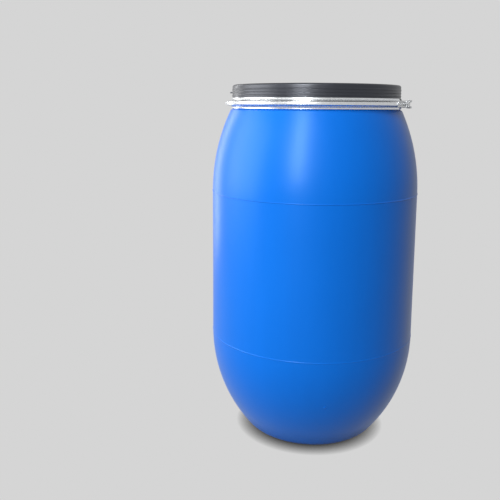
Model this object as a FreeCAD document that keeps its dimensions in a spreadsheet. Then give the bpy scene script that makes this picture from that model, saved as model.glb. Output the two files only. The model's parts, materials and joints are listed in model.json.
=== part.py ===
import FreeCAD, Part
import math
import os

import Sketcher

# Plastic open head drum with a lever-lock ring, in millimetres.
# The drum's axis is Z, its base rests on Z = 0, its front looks along -Y and the closure is at +X.

SIZES = [
    ("drum_radius", 245.0),
    ("wall", 4.0),
    ("lower_seam_height", 246.0),
    ("upper_seam_height", 592.0),
    ("shoulder_edge", 3.8),
    ("shoulder_top_drop", 15.5),
    ("base_edge_radius", 145.2),
    ("base_corner_radius", 52.0),
    ("foot_inner_radius", 96.0),
    ("base_dish_radius", 88.0),
    ("base_dish_depth", 7.0),
    ("seam_bead_width", 3.0),
    ("upper_bead_height", 1.0),
    ("lower_bead_height", 0.6),
    ("pip_radius", 3.0),
    ("pip_offset", 35.0),
    ("pip_height", 138.0),
    ("pip_rise", 1.4),
    ("neck_radius", 198.4),
    ("neck_wall", 6.4),
    ("neck_step", 1.8),
    ("ring_height", 799.5),
    ("ring_half_width", 12.0),
    ("ring_root_half", 8.5),
    ("ring_apex_half", 3.2),
    ("ring_lip_step", 1.8),
    ("ring_apex_step", 17.1),
    ("ring_sheet", 1.2),
    ("flange_step", 11.6),
    ("flange_clearance", 0.45),
    ("gasket_half", 1.5),
    ("gasket_inner_step", 1.9),
    ("gasket_outer_step", 9.1),
    ("gasket_bead_radius", 1.0),
    ("lid_wall_step", 0.2),
    ("lid_wall", 3.4),
    ("lid_rise", 42.5),
    ("lid_edge_radius", 8.0),
    ("lid_land_width", 9.0),
    ("lid_panel_drop", 16.0),
    ("lid_panel_slope", 7.0),
    ("lid_skirt_drop", 14.5),
    ("lid_skirt_wall", 3.0),
    ("lid_skirt_play", 1.0),
    ("lid_rib_pitch", 6.8),
    ("lid_rib_radius", 0.9),
    ("lid_first_rib_drop", 11.7),
    ("lid_hub_radius", 58.0),
    ("lid_hub_rise", 4.0),
    ("lid_spoke_inner", 74.0),
    ("lid_spoke_margin", 46.4),
    ("lid_spoke_width", 9.0),
    ("lid_spoke_rise", 3.0),
    ("lug_length", 7.0),
    ("lug_width", 14.0),
    ("lug_thickness", 3.4),
    ("lug_rise", 25.0),
    ("closure_angle", 3.0),
    ("rear_end_angle", 11.0),
    ("front_end_angle", 23.0),
    ("bracket_sheet", 1.5),
    ("bracket_half_width", 7.0),
    ("running_gap", 0.05),
    ("rear_plate_start", 10.0),
    ("rear_plate_sweep", 23.0),
    ("pivot_step", 7.65),
    ("pivot_pin_radius", 2.5),
    ("cheek_round", 4.2),
    ("rear_rivet_first", 7.6),
    ("rear_rivet_second", 11.2),
    ("front_plate_start", 37.0),
    ("front_plate_sweep", 13.5),
    ("catch_angle", 24.2),
    ("catch_step", 3.7),
    ("catch_lip_width", 1.5),
    ("front_rivet_first", 28.6),
    ("front_rivet_second", 33.6),
    ("rivet_radius", 1.6),
    ("rivet_head_radius", 3.0),
    ("rivet_inner_head_radius", 2.15),
    ("rivet_head_rise", 1.1),
    ("crank", 14.0),
    ("over_centre", 1.6),
    ("link_pin_radius", 2.0),
    ("link_sheet", 1.5),
    ("link_half_width", 4.0),
    ("link_step", 2.1),
    ("link_jog_angle", 16.0),
    ("link_jog_sweep", 2.0),
    ("hook_lift", 0.6),
    ("hook_play", 1.2),
    ("hook_tip_step", 2.0),
    ("hook_nose_step", 7.9),
    ("lever_ear_inner", 7.5),
    ("lever_sheet", 1.2),
    ("lever_inner_step", 2.5),
    ("lever_outer_step", 11.7),
    ("lever_web_start", 9.0),
    ("lever_web_sweep", 25.0),
    ("lever_ear_end", 9.4),
    ("lever_tab_sweep", 4.0),
    ("lever_tab_rise", 6.0),
    ("pin_head_rise", 0.9),
    ("pivot_head_radius", 4.0),
    ("link_pin_head_radius", 3.2),
    ("staple_angle", 24.0),
    ("staple_width", 11.0),
    ("staple_thickness", 3.0),
    ("staple_step", 18.0),
    ("staple_eye_radius", 1.8),
    ("staple_corner", 3.0),
    ("slot_play", 2.6),
    ("bead_sink", 0.1),
    ("bead_crest", 1.0 / 3.0),
    ("ear_join", 0.5),
    ("tab_join", 0.4),
    ("hook_flare", 1.0),
]

LID_SPOKES = 12
LID_RIBS = 3
SHOULDER_TOP = "(Sizes.ring_height - Sizes.shoulder_top_drop)"
LIP = "(Sizes.neck_radius + Sizes.ring_lip_step)"
APEX = "(Sizes.neck_radius + Sizes.ring_apex_step)"
FLANGE = "(Sizes.neck_radius + Sizes.flange_step)"
GASKET_INNER = "(Sizes.neck_radius - Sizes.gasket_inner_step)"
GASKET_OUTER = "(Sizes.neck_radius + Sizes.gasket_outer_step)"
LID_WALL = "(Sizes.neck_radius - Sizes.lid_wall_step)"
LID_TOP = "(Sizes.ring_height + Sizes.lid_rise)"
SKIRT_LOW = "(Sizes.ring_height - Sizes.lid_skirt_drop)"
SPOKE_OUTER = "(Sizes.neck_radius - Sizes.lid_spoke_margin)"
LUG_HEIGHT = "(Sizes.ring_height + Sizes.lug_rise)"
PIVOT = f"({APEX} + Sizes.pivot_step)"
CATCH_TOP = f"({APEX} + Sizes.catch_step)"
LINK_INNER = f"({APEX} + Sizes.link_step)"
HOOK_TIP = f"({APEX} + Sizes.hook_tip_step)"
HOOK_NOSE = f"({APEX} + Sizes.hook_nose_step)"
LEVER_INNER = f"({APEX} + Sizes.lever_inner_step)"
LEVER_OUTER = f"({APEX} + Sizes.lever_outer_step)"
STAPLE_REACH = f"({APEX} + Sizes.staple_step)"
SHOULDER_EDGE = "(Sizes.neck_radius + Sizes.shoulder_edge)"
SHOULDER_IN = f"(Sizes.drum_radius - {SHOULDER_EDGE})"
SHOULDER_RISE = f"({SHOULDER_TOP} - Sizes.upper_seam_height)"
SHOULDER_ARC = f"(({SHOULDER_IN} ^ 2 + {SHOULDER_RISE} ^ 2) / (2 * {SHOULDER_IN}))"
BASE_IN = "(Sizes.drum_radius - Sizes.base_edge_radius)"
LOWER_ARC = f"(({BASE_IN} ^ 2 + Sizes.lower_seam_height ^ 2) / (2 * {BASE_IN}))"
RING_SLOPE = f"((Sizes.ring_root_half - Sizes.ring_apex_half) / ({APEX} - {LIP}))"
FLANK_SHEET = f"(Sizes.ring_sheet * sqrt(1 + {RING_SLOPE} ^ 2))"
LIP_INNER = f"({LIP} - Sizes.ring_sheet)"
APEX_INNER = f"({APEX} - Sizes.ring_sheet)"
NECK_INNER = "(Sizes.neck_radius - Sizes.neck_wall)"
RIM_TOP = "(Sizes.ring_height - Sizes.gasket_half)"
FLANGE_BASE = "(Sizes.ring_height + Sizes.gasket_half)"
PLATE_INNER = f"({APEX} + Sizes.running_gap)"
PLATE_OUTER = f"({APEX} + Sizes.running_gap + Sizes.bracket_sheet)"
LINK_PIN_X = f"({PIVOT} - Sizes.over_centre)"
LINK_OUTER = f"({LINK_INNER} + Sizes.link_sheet)"
LEVER_EAR_OUTER = "(Sizes.lever_ear_inner + Sizes.lever_sheet)"
RIVET_HOLE = "(Sizes.rivet_radius + Sizes.running_gap)"
RIVETS_REAR = [
    ("rear_first", "Sizes.rear_rivet_first"),
    ("rear_second", "Sizes.rear_rivet_second"),
]
RIVETS_FRONT = [
    ("front_first", "(-Sizes.front_rivet_first)"),
    ("front_second", "(-Sizes.front_rivet_second)"),
]

doc = FreeCAD.newDocument("OpenHeadDrum")
sheet = doc.addObject("Spreadsheet::Sheet", "Sizes")
parts = []


def fill_sheet():
    for row, (alias, value) in enumerate(SIZES, start=1):
        sheet.set(f"A{row}", alias)
        sheet.set(f"B{row}", str(value))
        sheet.setAlias(f"B{row}", alias)
    doc.recompute()


def worked_out(expression):
    value = sheet.evalExpression(expression.replace("Sizes.", ""))
    return float(getattr(value, "Value", value))


def flank(radius, side, inset):
    """Height of the ring's flank at a radius: side is + or -, inset is measured towards the middle."""
    reach = f"(Sizes.ring_root_half - ({radius} - {LIP}) * {RING_SLOPE} - {inset})"
    return f"(Sizes.ring_height {side} {reach})"


def polar(radius, degrees):
    return f"({radius}) * cos({degrees})", f"({radius}) * sin({degrees})"


def about_axis(axis):
    """A placement turned by one degree about an axis, whose angle an expression then sets."""
    return FreeCAD.Placement(FreeCAD.Vector(), FreeCAD.Rotation(axis, 1))


def new_part(label):
    body = doc.addObject("PartDesign::Body", label)
    body.Label = label
    parts.append(body)
    return body


def closure_part(label):
    body = new_part(label)
    body.Placement = about_axis(FreeCAD.Vector(0, 0, 1))
    body.setExpression("Placement.Rotation.Angle", "Sizes.closure_angle")
    return body


def sketch_on(body, role, name):
    plane = [item for item in body.Origin.OriginFeatures if item.Role == role][0]
    sketch = body.newObject("Sketcher::SketchObject", name)
    sketch.AttachmentSupport = [(plane, "")]
    sketch.MapMode = "FlatFace"
    sketch.Visibility = False
    return sketch


def bind(sketch, kind, place, expression):
    value = worked_out(expression)
    index = sketch.addConstraint(Sketcher.Constraint(kind, -1, 1, place[0], place[1], value))
    sketch.setExpression(f"Constraints[{index}]", expression)


def outline(sketch, corners, arcs=None, upright=False):
    """Close a loop through corners (x, y); arcs maps the corner that an arc starts at to its data.

    An arc's data are its centre, its radius and the sense it turns in (1 is counter-clockwise).
    Its two ends keep their y, and the circle gives them their x; with upright set it is the other way.
    """
    arcs = arcs or {}
    count = len(corners)
    spots = [FreeCAD.Vector(worked_out(x), worked_out(y), 0) for x, y in corners]
    first = sketch.GeometryCount
    for index in range(count):
        start = spots[index]
        end = spots[(index + 1) % count]
        if index in arcs:
            add_arc(sketch, start, end, arcs[index])
        else:
            sketch.addGeometry(Part.LineSegment(start, end), False)
    ends = [arc_ends(arcs.get(index)) for index in range(count)]
    for index in range(count):
        following = (index + 1) % count
        pair = (first + index, ends[index][1], first + following, ends[following][0])
        sketch.addConstraint(Sketcher.Constraint("Coincident", *pair))
    for index, (x, y) in enumerate(corners):
        place = (first + index, ends[index][0])
        touches_arc = index in arcs or (index - 1) % count in arcs
        if upright or not touches_arc:
            bind(sketch, "DistanceX", place, x)
        if not (upright and touches_arc):
            bind(sketch, "DistanceY", place, y)
    for index, (centre, radius, _) in arcs.items():
        bind(sketch, "DistanceX", (first + index, 3), centre[0])
        bind(sketch, "DistanceY", (first + index, 3), centre[1])
        size = sketch.addConstraint(Sketcher.Constraint("Radius", first + index, worked_out(radius)))
        sketch.setExpression(f"Constraints[{size}]", radius)


def arc_ends(arc):
    return (2, 1) if arc is not None and arc[2] < 0 else (1, 2)


def add_arc(sketch, start, end, arc):
    centre = FreeCAD.Vector(worked_out(arc[0][0]), worked_out(arc[0][1]), 0)
    circle = Part.Circle(centre, FreeCAD.Vector(0, 0, 1), worked_out(arc[1]))
    first = math.atan2(start.y - centre.y, start.x - centre.x)
    last = math.atan2(end.y - centre.y, end.x - centre.x)
    if arc[2] < 0:
        first, last = last, first
    if last < first:
        last += 2 * math.pi
    sketch.addGeometry(Part.ArcOfCircle(circle, first, last), False)


def circle(sketch, x, y, radius):
    centre = FreeCAD.Vector(worked_out(x), worked_out(y), 0)
    item = sketch.addGeometry(Part.Circle(centre, FreeCAD.Vector(0, 0, 1), worked_out(radius)), False)
    bind(sketch, "DistanceX", (item, 3), x)
    bind(sketch, "DistanceY", (item, 3), y)
    size = sketch.addConstraint(Sketcher.Constraint("Radius", item, worked_out(radius)))
    sketch.setExpression(f"Constraints[{size}]", radius)


def turned(body, name, corners, arcs=None, start=None, sweep=None, kind="Revolution"):
    """Turn an outline, drawn as (radius, height), about the drum's axis."""
    sketch = sketch_on(body, "XZ_Plane", name + "_outline")
    outline(sketch, corners, arcs)
    if start is not None:
        sketch.AttachmentOffset = about_axis(FreeCAD.Vector(0, 1, 0))
        sketch.setExpression("AttachmentOffset.Rotation.Angle", start)
    feature = body.newObject("PartDesign::" + kind, name)
    feature.Profile = sketch
    feature.ReferenceAxis = (sketch, ["V_Axis"])
    feature.Angle = 360
    if sweep is not None:
        feature.setExpression("Angle", sweep)
    return feature


def flat(body, name, low, thickness, draw, kind="Pad"):
    """Pad or pocket a sketch that lies at height low, upwards through thickness."""
    sketch = sketch_on(body, "XY_Plane", name + "_outline")
    draw(sketch)
    sketch.setExpression("AttachmentOffset.Base.z", low)
    feature = body.newObject("PartDesign::" + kind, name)
    feature.Profile = sketch
    feature.setExpression("Length", thickness)
    feature.Reversed = kind == "Pocket"
    return feature


def edges_at(shape, radius, height):
    """Names of the round edges about the drum's axis with a radius and height."""
    names = []
    for index, edge in enumerate(shape.Edges, start=1):
        if not isinstance(edge.Curve, Part.Circle):
            continue
        same_radius = abs(edge.Curve.Radius - radius) < 0.01
        same_height = abs(edge.Curve.Center.z - height) < 0.01
        if same_radius and same_height:
            names.append(f"Edge{index}")
    return names


def rounded(body, name, radius, height, size):
    doc.recompute()
    base = body.Tip
    feature = body.newObject("PartDesign::Fillet", name)
    feature.Base = (base, edges_at(base.Shape, worked_out(radius), worked_out(height)))
    feature.setExpression("Radius", size)
    return feature


def drum_body():
    body = new_part("drum_body")
    shoulder = (f"(Sizes.drum_radius - {SHOULDER_ARC})", "Sizes.upper_seam_height")
    lower = (f"(Sizes.drum_radius - {LOWER_ARC})", "Sizes.lower_seam_height")
    shoulder_inner = f"({SHOULDER_ARC} - Sizes.wall)"
    lower_inner = f"({LOWER_ARC} - Sizes.wall)"
    corner = on_circle(lower, LOWER_ARC, "0")
    corner_inner = on_circle(lower, lower_inner, "Sizes.wall")
    shoulder_end = on_circle(shoulder, SHOULDER_ARC, SHOULDER_TOP)
    shoulder_end_inner = on_circle(shoulder, shoulder_inner, SHOULDER_TOP)
    outside = [
        ("0", "Sizes.base_dish_depth"),
        ("Sizes.base_dish_radius", "Sizes.base_dish_depth"),
        ("Sizes.foot_inner_radius", "0"),
        (corner, "0"),
        ("Sizes.drum_radius", "Sizes.lower_seam_height"),
        ("Sizes.drum_radius", "Sizes.upper_seam_height"),
        (shoulder_end, SHOULDER_TOP),
        ("Sizes.neck_radius", f"({SHOULDER_TOP} + Sizes.neck_step)"),
        ("Sizes.neck_radius", flank("Sizes.neck_radius", "-", f"({FLANK_SHEET} + Sizes.flange_clearance)")),
        (FLANGE, flank(FLANGE, "-", f"({FLANK_SHEET} + Sizes.flange_clearance)")),
        (FLANGE, RIM_TOP),
        (NECK_INNER, RIM_TOP),
    ]
    inside = [
        (NECK_INNER, f"({SHOULDER_TOP} + Sizes.neck_step)"),
        (shoulder_end_inner, SHOULDER_TOP),
        ("(Sizes.drum_radius - Sizes.wall)", "Sizes.upper_seam_height"),
        ("(Sizes.drum_radius - Sizes.wall)", "Sizes.lower_seam_height"),
        (corner_inner, "Sizes.wall"),
        ("Sizes.foot_inner_radius", "Sizes.wall"),
        ("Sizes.base_dish_radius", "(Sizes.base_dish_depth + Sizes.wall)"),
        ("0", "(Sizes.base_dish_depth + Sizes.wall)"),
    ]
    first_inside = len(outside)
    arcs = {
        3: (lower, LOWER_ARC, 1),
        5: (shoulder, SHOULDER_ARC, 1),
        first_inside + 1: (shoulder, shoulder_inner, -1),
        first_inside + 3: (lower, lower_inner, -1),
    }
    turned(body, "shell", outside + inside, arcs)
    rounded(body, "base_round", corner, "0", "Sizes.base_corner_radius")
    rounded(body, "base_round_inner", corner_inner, "Sizes.wall", "(Sizes.base_corner_radius - Sizes.wall)")
    seam_bead(body, "upper_seam", "Sizes.upper_seam_height", "Sizes.upper_bead_height")
    seam_bead(body, "lower_seam", "Sizes.lower_seam_height", "Sizes.lower_bead_height")
    moulded_pip(body)


def on_circle(centre, radius, height):
    return f"({centre[0]} + sqrt(({radius}) ^ 2 - ({height} - ({centre[1]})) ^ 2))"


def seam_bead(body, name, height, rise):
    half = "Sizes.seam_bead_width / 2"
    root = "(Sizes.drum_radius - Sizes.wall / 2)"
    edge = f"(Sizes.drum_radius - Sizes.bead_sink * {rise})"
    corners = [
        (root, f"({height} - {half})"),
        (edge, f"({height} - {half})"),
        (f"(Sizes.drum_radius + {rise})", f"({height} - {half} * Sizes.bead_crest)"),
        (f"(Sizes.drum_radius + {rise})", f"({height} + {half} * Sizes.bead_crest)"),
        (edge, f"({height} + {half})"),
        (root, f"({height} + {half})"),
    ]
    turned(body, name, corners)


def moulded_pip(body):
    centre = f"(Sizes.drum_radius - {LOWER_ARC})"
    radius = f"({centre} + sqrt({LOWER_ARC} ^ 2 - (Sizes.lower_seam_height - Sizes.pip_height) ^ 2))"
    surface = f"sqrt({radius} ^ 2 - Sizes.pip_offset ^ 2)"
    sketch = sketch_on(body, "XZ_Plane", "pip_outline")
    circle(sketch, "Sizes.pip_offset", "Sizes.pip_height", "Sizes.pip_radius")
    sketch.setExpression("AttachmentOffset.Base.z", f"({surface} - Sizes.wall / 2)")
    pip = body.newObject("PartDesign::Pad", "pip")
    pip.Profile = sketch
    pip.setExpression("Length", "(Sizes.wall / 2 + Sizes.pip_rise)")


def lid():
    body = new_part("lid")
    wall_inner = f"({LID_WALL} - Sizes.lid_wall)"
    skirt_outer = f"({NECK_INNER} - Sizes.lid_skirt_play)"
    skirt_inner = f"({skirt_outer} - Sizes.lid_skirt_wall)"
    panel_top = f"({LID_TOP} - Sizes.lid_panel_drop)"
    land_inner = f"({wall_inner} - Sizes.lid_land_width)"
    panel_radius = f"({land_inner} - Sizes.lid_panel_slope)"
    inner_bend = "(Sizes.lid_edge_radius - Sizes.lid_wall)"
    flange_inset = f"({FLANK_SHEET} + Sizes.flange_clearance)"
    corners = [
        (skirt_inner, SKIRT_LOW),
        (skirt_outer, SKIRT_LOW),
        (skirt_outer, FLANGE_BASE),
        (FLANGE, FLANGE_BASE),
        (FLANGE, flank(FLANGE, "+", flange_inset)),
        (LID_WALL, flank(LID_WALL, "+", flange_inset)),
        (LID_WALL, LID_TOP),
        (land_inner, LID_TOP),
        (panel_radius, panel_top),
        ("0", panel_top),
        ("0", f"({panel_top} - Sizes.lid_wall)"),
        (f"({panel_radius} + Sizes.lid_wall / 2)", f"({panel_top} - Sizes.lid_wall)"),
        (f"({land_inner} + Sizes.lid_wall)", f"({LID_TOP} - Sizes.lid_wall)"),
        (wall_inner, f"({LID_TOP} - Sizes.lid_wall)"),
        (wall_inner, f"({FLANGE_BASE} + 2 * Sizes.lid_wall)"),
        (skirt_inner, f"({FLANGE_BASE} + Sizes.lid_wall)"),
    ]
    turned(body, "shell", corners)
    rounded(body, "top_edge", LID_WALL, LID_TOP, "Sizes.lid_edge_radius")
    rounded(body, "land_edge", land_inner, LID_TOP, "Sizes.lid_wall")
    rounded(body, "inner_edge", wall_inner, f"({LID_TOP} - Sizes.lid_wall)", inner_bend)
    for index in range(LID_RIBS):
        wall_rib(body, index)
    raised_hub(body, panel_top)
    spokes(body, panel_top)
    side_lug(body)


def wall_rib(body, index):
    height = f"({LID_TOP} - Sizes.lid_first_rib_drop - {index} * Sizes.lid_rib_pitch)"
    half = "Sizes.lid_rib_radius"
    corners = [
        (f"({LID_WALL} - Sizes.lid_wall / 2)", f"({height} - 2 * {half})"),
        (f"({LID_WALL} - Sizes.bead_sink * {half})", f"({height} - 2 * {half})"),
        (f"({LID_WALL} + {half})", f"({height} - {half} / 2)"),
        (f"({LID_WALL} + {half})", f"({height} + {half} / 2)"),
        (f"({LID_WALL} - Sizes.bead_sink * {half})", f"({height} + 2 * {half})"),
        (f"({LID_WALL} - Sizes.lid_wall / 2)", f"({height} + 2 * {half})"),
    ]
    turned(body, f"wall_rib_{index + 1}", corners)


def raised_hub(body, panel_top):
    low = f"({panel_top} - Sizes.lid_wall / 2)"
    corners = [
        ("0", low),
        ("(Sizes.lid_hub_radius + Sizes.lid_hub_rise)", low),
        ("(Sizes.lid_hub_radius + Sizes.lid_hub_rise)", panel_top),
        ("Sizes.lid_hub_radius", f"({panel_top} + Sizes.lid_hub_rise)"),
        ("0", f"({panel_top} + Sizes.lid_hub_rise)"),
    ]
    turned(body, "hub", corners)


def spokes(body, panel_top):
    half = "Sizes.lid_spoke_width / 2"

    def draw(sketch):
        outline(sketch, [
            ("Sizes.lid_spoke_inner", "-" + half),
            (SPOKE_OUTER, "-" + half),
            (SPOKE_OUTER, half),
            ("Sizes.lid_spoke_inner", half),
        ])

    low = f"({panel_top} - Sizes.lid_wall / 2)"
    spoke = flat(body, "spoke", low, "(Sizes.lid_wall / 2 + Sizes.lid_spoke_rise)", draw)
    doc.recompute()
    ring = body.newObject("PartDesign::PolarPattern", "spokes")
    ring.Originals = [spoke]
    ring.Axis = (spoke.Profile[0], ["N_Axis"])
    ring.Angle = 360
    ring.Occurrences = LID_SPOKES
    body.Tip = ring


def side_lug(body):
    half = "Sizes.lug_width / 2"

    def draw(sketch):
        outline(sketch, [
            (f"-({LID_WALL} + Sizes.lug_length)", f"-{half} / 2"),
            (f"-({LID_WALL} - Sizes.lid_wall / 2)", "-" + half),
            (f"-({LID_WALL} - Sizes.lid_wall / 2)", half),
            (f"-({LID_WALL} + Sizes.lug_length)", f"{half} / 2"),
        ])

    flat(body, "lug", f"({LUG_HEIGHT} - Sizes.lug_thickness / 2)", "Sizes.lug_thickness", draw)


def lid_gasket():
    body = new_part("lid_gasket")
    corners = [
        (GASKET_INNER, RIM_TOP),
        (GASKET_OUTER, RIM_TOP),
        (f"({GASKET_OUTER} + Sizes.gasket_bead_radius / 2)", "Sizes.ring_height"),
        (GASKET_OUTER, FLANGE_BASE),
        (GASKET_INNER, FLANGE_BASE),
        (f"({GASKET_INNER} - Sizes.gasket_bead_radius / 2)", "Sizes.ring_height"),
    ]
    turned(body, "strip", corners)


def ring_band():
    body = closure_part("ring_band")
    outer = [
        (LIP_INNER, "(Sizes.ring_height - Sizes.ring_half_width)"),
        (LIP, "(Sizes.ring_height - Sizes.ring_half_width)"),
        (LIP, "(Sizes.ring_height - Sizes.ring_root_half)"),
        (APEX, "(Sizes.ring_height - Sizes.ring_apex_half)"),
        (APEX, "(Sizes.ring_height + Sizes.ring_apex_half)"),
        (LIP, "(Sizes.ring_height + Sizes.ring_root_half)"),
        (LIP, "(Sizes.ring_height + Sizes.ring_half_width)"),
        (LIP_INNER, "(Sizes.ring_height + Sizes.ring_half_width)"),
    ]
    inner = [
        (LIP_INNER, flank(LIP_INNER, "+", FLANK_SHEET)),
        (APEX_INNER, flank(APEX_INNER, "+", FLANK_SHEET)),
        (APEX_INNER, flank(APEX_INNER, "-", FLANK_SHEET)),
        (LIP_INNER, flank(LIP_INNER, "-", FLANK_SHEET)),
    ]
    sweep = "(360 - Sizes.front_end_angle + Sizes.rear_end_angle)"
    turned(body, "channel", outer + inner, start="(-Sizes.rear_end_angle)", sweep=sweep)
    low = f"({APEX} - 2 * Sizes.ring_sheet)"
    through = "(4 * Sizes.ring_sheet)"
    for name, angle in RIVETS_REAR + RIVETS_FRONT:
        radial_round(body, name + "_hole", angle, low, through, RIVET_HOLE, "Pocket")


def radial_round(body, name, angle, low, length, radius, kind="Pad"):
    """A round pad or pocket along the radius at an angle, from radius low outwards."""
    sketch = sketch_on(body, "YZ_Plane", name + "_outline")
    circle(sketch, "0", "Sizes.ring_height", radius)
    sketch.AttachmentOffset = about_axis(FreeCAD.Vector(0, 1, 0))
    sketch.setExpression("AttachmentOffset.Base.x", f"({low}) * sin({angle})")
    sketch.setExpression("AttachmentOffset.Base.z", f"({low}) * cos({angle})")
    sketch.setExpression("AttachmentOffset.Rotation.Angle", angle)
    feature = body.newObject("PartDesign::" + kind, name)
    feature.Profile = sketch
    feature.setExpression("Length", length)
    feature.Reversed = kind == "Pocket"
    return feature


def curved_plate(body, name, inner, outer, half, start, sweep, kind="Revolution"):
    """A plate bent to the ring: inner and outer radius, half its height, first angle and sweep."""
    corners = [
        (inner, f"(Sizes.ring_height - {half})"),
        (outer, f"(Sizes.ring_height - {half})"),
        (outer, f"(Sizes.ring_height + {half})"),
        (inner, f"(Sizes.ring_height + {half})"),
    ]
    return turned(body, name, corners, start=start, sweep=sweep, kind=kind)


def base_plate(body, start, sweep):
    """The part of a bracket that lies against the band."""
    curved_plate(body, "base", PLATE_INNER, PLATE_OUTER, "Sizes.bracket_half_width", start, sweep)


def rivet_holes(body, rivets):
    low = f"({APEX} - Sizes.ring_sheet)"
    for name, angle in rivets:
        radial_round(body, name + "_hole", angle, low, "(4 * Sizes.bracket_sheet)", RIVET_HOLE, "Pocket")


def lever_bracket():
    body = closure_part("lever_bracket")
    base_plate(body, "(-Sizes.rear_plate_start)", "Sizes.rear_plate_sweep")
    for name, low in cheek_levels():
        flat(body, name, low, "Sizes.bracket_sheet", draw_cheek)
    rivet_holes(body, RIVETS_REAR)


def cheek_levels():
    lower = "(Sizes.ring_height - Sizes.bracket_half_width)"
    upper = "(Sizes.ring_height + Sizes.bracket_half_width - Sizes.bracket_sheet)"
    return [("lower_cheek", lower), ("upper_cheek", upper)]


def draw_cheek(sketch):
    foot = f"({PLATE_OUTER} - Sizes.bracket_sheet / 2)"
    outline(sketch, [
        (foot, "-2 * Sizes.cheek_round"),
        (PIVOT, "-Sizes.cheek_round"),
        (PIVOT, "Sizes.cheek_round"),
        (foot, "2 * Sizes.cheek_round"),
    ], {1: ((PIVOT, "0"), "Sizes.cheek_round", 1)}, upright=True)
    circle(sketch, PIVOT, "0", "(Sizes.pivot_pin_radius + Sizes.running_gap)")


def band_rivets(label, rivets):
    body = closure_part(label)
    shank = "(Sizes.ring_sheet + Sizes.bracket_sheet + 2 * Sizes.running_gap + 2 * Sizes.rivet_head_rise)"
    inner = f"({APEX} - Sizes.ring_sheet - Sizes.running_gap - Sizes.rivet_head_rise)"
    outer = f"({PLATE_OUTER} + Sizes.running_gap)"
    rise = "Sizes.rivet_head_rise"
    for name, angle in rivets:
        radial_round(body, name, angle, inner, shank, "Sizes.rivet_radius")
        radial_round(body, name + "_inner_head", angle, inner, rise, "Sizes.rivet_inner_head_radius")
        radial_round(body, name + "_outer_head", angle, outer, rise, "Sizes.rivet_head_radius")


def catch_bracket():
    body = closure_part("catch_bracket")
    base_plate(body, "(-Sizes.front_plate_start)", "Sizes.front_plate_sweep")
    lip_sweep = f"(Sizes.catch_lip_width / {CATCH_TOP} * 180 / pi)"
    lip_start = f"(-Sizes.catch_angle - {lip_sweep})"
    low = f"({PLATE_OUTER} - Sizes.running_gap)"
    half = "Sizes.bracket_half_width"
    curved_plate(body, "lip", low, CATCH_TOP, half, lip_start, lip_sweep)
    rivet_holes(body, RIVETS_FRONT)


def link():
    body = closure_part("link")
    eye_round = "(Sizes.link_pin_radius + Sizes.running_gap + Sizes.link_sheet)"
    low = "(Sizes.ring_height - Sizes.link_half_width)"
    width = "(2 * Sizes.link_half_width)"
    half = "Sizes.link_half_width"
    eye_angle = f"(Sizes.crank / {PIVOT} * 180 / pi)"
    jog_end = "(Sizes.link_jog_angle + Sizes.link_jog_sweep)"
    raised_inner = f"({CATCH_TOP} + Sizes.hook_lift)"
    raised_outer = f"({CATCH_TOP} + Sizes.hook_lift + Sizes.link_sheet)"
    hook_face = hook_face_angle()
    near_sweep = f"(Sizes.link_jog_angle + {eye_angle})"
    curved_plate(body, "strap", LINK_INNER, LINK_OUTER, half, "(-Sizes.link_jog_angle)", near_sweep)
    far_sweep = f"({hook_face} - {jog_end})"
    curved_plate(body, "raised_strap", raised_inner, raised_outer, half, f"(-{hook_face})", far_sweep)

    def draw_jog(sketch):
        outline(sketch, [
            polar(LINK_INNER, "-Sizes.link_jog_angle"),
            polar(LINK_OUTER, "-Sizes.link_jog_angle"),
            polar(raised_outer, "-" + jog_end),
            polar(raised_inner, "-" + jog_end),
        ])

    def draw_hook(sketch):
        tip = f"({hook_face} + Sizes.link_sheet / {LINK_INNER} * 180 / pi)"
        outline(sketch, [
            polar(HOOK_TIP, "-" + hook_face),
            polar(raised_outer, "-" + hook_face),
            polar(HOOK_NOSE, f"-({tip} + Sizes.hook_flare)"),
            polar(f"({HOOK_NOSE} - Sizes.link_sheet)", f"-({tip} + Sizes.hook_flare)"),
            polar(raised_inner, "-" + tip),
            polar(HOOK_TIP, "-" + tip),
        ])

    def draw_eye(sketch):
        circle(sketch, LINK_PIN_X, "Sizes.crank", eye_round)

    def draw_eye_hole(sketch):
        circle(sketch, LINK_PIN_X, "Sizes.crank", "(Sizes.link_pin_radius + Sizes.running_gap)")

    flat(body, "jog", low, width, draw_jog)
    flat(body, "hook", low, width, draw_hook)
    flat(body, "eye", low, width, draw_eye)
    below = f"({low} - Sizes.link_sheet)"
    through = f"({width} + 2 * Sizes.link_sheet)"
    flat(body, "eye_hole", below, through, draw_eye_hole, "Pocket")


def hook_face_angle():
    lip = f"Sizes.catch_lip_width / {CATCH_TOP}"
    play = f"Sizes.hook_play / {CATCH_TOP}"
    return f"(Sizes.catch_angle + ({lip} + {play}) * 180 / pi)"


def lever():
    body = closure_part("lever")
    inner = LEVER_INNER
    outer = LEVER_OUTER
    web_inner = f"({LEVER_OUTER} - Sizes.lever_sheet)"
    start = "Sizes.lever_web_start"
    curved_plate(body, "web", web_inner, outer, LEVER_EAR_OUTER, start, "Sizes.lever_web_sweep")
    ear_sweep = "(Sizes.lever_web_start + Sizes.lever_web_sweep - Sizes.lever_ear_end)"
    for name, low in ear_levels():
        corners = [
            (inner, low),
            (outer, low),
            (outer, f"({low} + Sizes.lever_sheet)"),
            (inner, f"({low} + Sizes.lever_sheet)"),
        ]
        turned(body, name + "_flange", corners, start="Sizes.lever_ear_end", sweep=ear_sweep)
        flat(body, name + "_ear", low, "Sizes.lever_sheet", draw_ear)
    finger_tab(body)
    staple_slot(body)


def ear_levels():
    lower = f"(Sizes.ring_height - {LEVER_EAR_OUTER})"
    upper = "(Sizes.ring_height + Sizes.lever_ear_inner)"
    return [("lower", lower), ("upper", upper)]


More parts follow.
